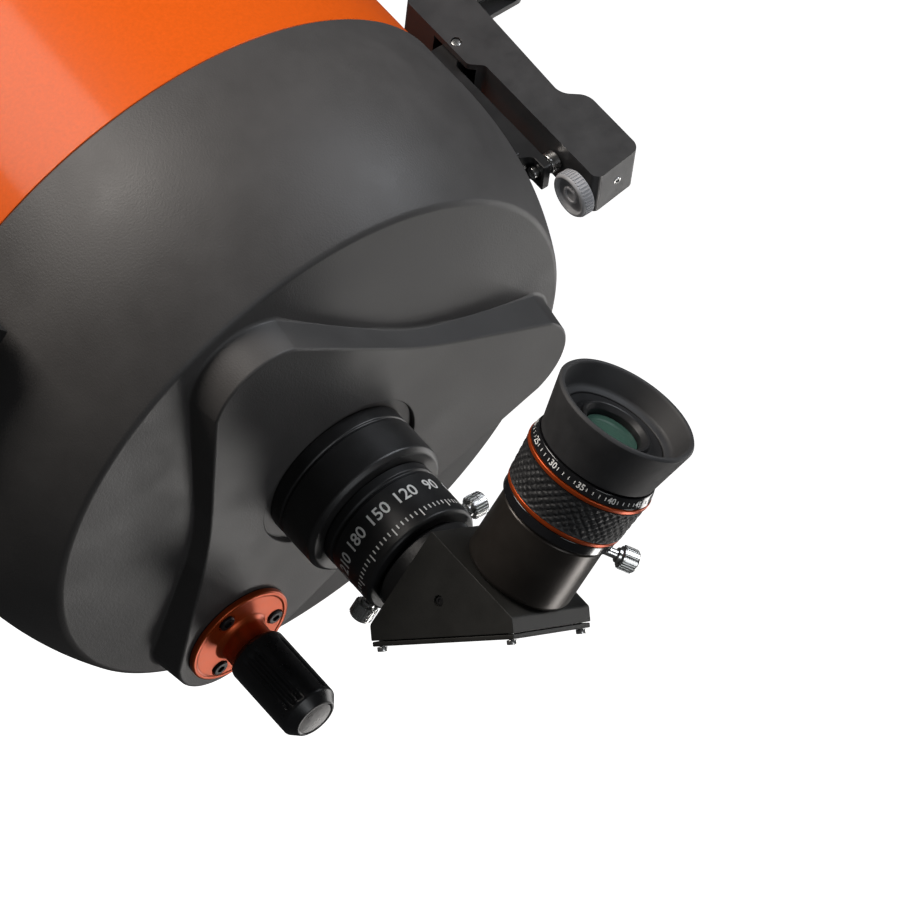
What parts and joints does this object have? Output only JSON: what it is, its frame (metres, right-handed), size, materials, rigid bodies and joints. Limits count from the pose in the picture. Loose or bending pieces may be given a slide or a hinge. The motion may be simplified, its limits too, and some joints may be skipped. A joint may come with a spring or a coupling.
{
  "type": "schmidt cassegrain telescope",
  "caption": "Catadioptric telescope tube with moving primary mirror, focus knob, rear visual back, right-angle diagonal, eyepiece, red-dot finder and dovetail bar.",
  "frame": {"origin": "middle of the dovetail bar's outer flat face", "axes": "+Y along the optical axis towards the sky, +Z the way the eyepiece points, -X out of the dovetail's flat face"},
  "size_m": [0.294, 0.5121, 0.234],
  "materials": {
    "cast_cell": "fine-textured dark grey powder coat",
    "tube_paint": "gloss metallic orange",
    "orange_anodised": "orange anodised, satin",
    "black_anodised": "black anodised, satin",
    "black_plastic": "fine-textured black",
    "rubber": "matt black",
    "steel": "plain",
    "chrome": "polished",
    "aluminium": "machined",
    "brass": "machined",
    "silvering": "front-coated glass",
    "optical_glass": "coated, clear"
  },
  "bodies": {
    "tube_assembly": {"rear_cell": "cast_cell", "optical_tube": "tube_paint", "front_cell": "cast_cell", "corrector_plate": "optical_glass", "corrector_retaining_ring": "black_anodised", "secondary_holder": "black_plastic", "secondary_clamp_ring": "black_plastic", "secondary_mirror": "silvering", "secondary_baffle": "black_plastic", "baffle_tube": "black_anodised", "focus_bearing": "steel", "focus_flange": "orange_anodised", "focus_flange_screw_1": "black_anodised", "focus_flange_screw_2": "black_anodised", "focus_flange_screw_3": "black_anodised", "rear_port_ring": "black_anodised", "visual_back_body": "black_anodised", "dovetail_bar": "black_anodised", "dovetail_saddle_rear": "black_anodised", "dovetail_saddle_front": "black_anodised", "dovetail_screw_rear": "steel", "dovetail_screw_front": "steel", "finder_foot": "black_anodised", "finder_bracket": "black_anodised", "finder_pivot_pin": "steel"},
    "mirror_cell": {"mirror_carrier": "aluminium", "primary_mirror": "silvering", "mirror_lock_ring": "black_anodised", "focus_nut": "brass"},
    "focuser": {"focus_knob": "rubber", "focus_screw": "steel"},
    "collimator_1": {"collimation_screw_1": "steel"},
    "collimator_2": {"collimation_screw_2": "steel"},
    "collimator_3": {"collimation_screw_3": "steel"},
    "back_screw_1": {"visual_back_thumbscrew_1": "steel"},
    "back_screw_2": {"visual_back_thumbscrew_2": "steel"},
    "diagonal": {"diagonal_nosepiece": "black_anodised", "diagonal_housing": "black_anodised", "diagonal_mirror": "silvering", "diagonal_mirror_plate": "black_anodised", "diagonal_plate_screw_1": "steel", "diagonal_plate_screw_2": "steel", "diagonal_plate_screw_3": "steel", "diagonal_plate_screw_4": "steel", "diagonal_side_screw": "black_anodised", "diagonal_eyepiece_tube": "black_anodised"},
    "diagonal_screw": {"diagonal_thumbscrew": "steel"},
    "eyepiece": {"eyepiece_barrel": "chrome", "field_lens": "optical_glass", "eyepiece_body": "black_anodised", "eyepiece_ring_lower": "orange_anodised", "eyepiece_grip": "rubber", "eyepiece_ring_upper": "orange_anodised", "eyepiece_top": "black_anodised", "eye_lens": "optical_glass", "eyecup": "rubber"},
    "finder": {"finder_body": "black_plastic", "finder_window": "optical_glass", "finder_stud": "steel"},
    "finder_dial": {"finder_dial": "black_plastic"}
  },
  "joints": [
    {"name": "mirror_slide", "type": "slide", "parent": "tube_assembly", "child": "mirror_cell", "axis": [0, 1, 0], "range_m": [-0.007, 0.007]},
    {"name": "focus_turn", "type": "hinge", "parent": "tube_assembly", "child": "focuser", "pos_m": [0.137, -0.257, -0.071], "axis": [0, 1, 0], "range_deg": [-3155, 3155]},
    {"name": "collimate_1", "type": "hinge", "parent": "tube_assembly", "child": "collimator_1", "pos_m": [0.137, 0.169, 0.014], "axis": [0, 1, 0], "continuous": true},
    {"name": "collimate_2", "type": "hinge", "parent": "tube_assembly", "child": "collimator_2", "pos_m": [0.12488, 0.169, -0.007], "axis": [0, 1, 0], "continuous": true},
    {"name": "collimate_3", "type": "hinge", "parent": "tube_assembly", "child": "collimator_3", "pos_m": [0.14912, 0.169, -0.007], "axis": [0, 1, 0], "continuous": true},
    {"name": "back_screw_turn_1", "type": "hinge", "parent": "tube_assembly", "child": "back_screw_1", "pos_m": [0.137, -0.267, -0.0256], "axis": [0, 0, -1], "continuous": true},
    {"name": "back_screw_turn_2", "type": "hinge", "parent": "tube_assembly", "child": "back_screw_2", "pos_m": [0.15917, -0.267, 0.0128], "axis": [0.866, 0, 0.5], "continuous": true},
    {"name": "diagonal_turn", "type": "hinge", "parent": "tube_assembly", "child": "diagonal", "pos_m": [0.137, -0.277, 0], "axis": [0, 1, 0], "continuous": true},
    {"name": "diagonal_screw_turn", "type": "hinge", "parent": "diagonal", "child": "diagonal_screw", "pos_m": [0.15658, -0.32299, 0.0435], "axis": [0.7648, -0.6442, 0], "continuous": true},
    {"name": "eyepiece_slide", "type": "slide", "parent": "diagonal", "child": "eyepiece", "axis": [0, 0, 1], "range_m": [0, 0.02]},
    {"name": "finder_tilt", "type": "hinge", "parent": "tube_assembly", "child": "finder", "pos_m": [0.25357, -0.117, 0.0757], "axis": [0.5446, 0, -0.8387], "range_deg": [-1.5, 1.5]},
    {"name": "finder_dial_turn", "type": "hinge", "parent": "finder", "child": "finder_dial", "pos_m": [0.25022, -0.186, 0.07353], "axis": [0.8387, 0, 0.5446], "range_deg": [0, 270]}
  ],
  "couplings": [
    {"joint": "focus_turn", "follows": "mirror_slide", "rad_per_m": -7854}
  ]
}
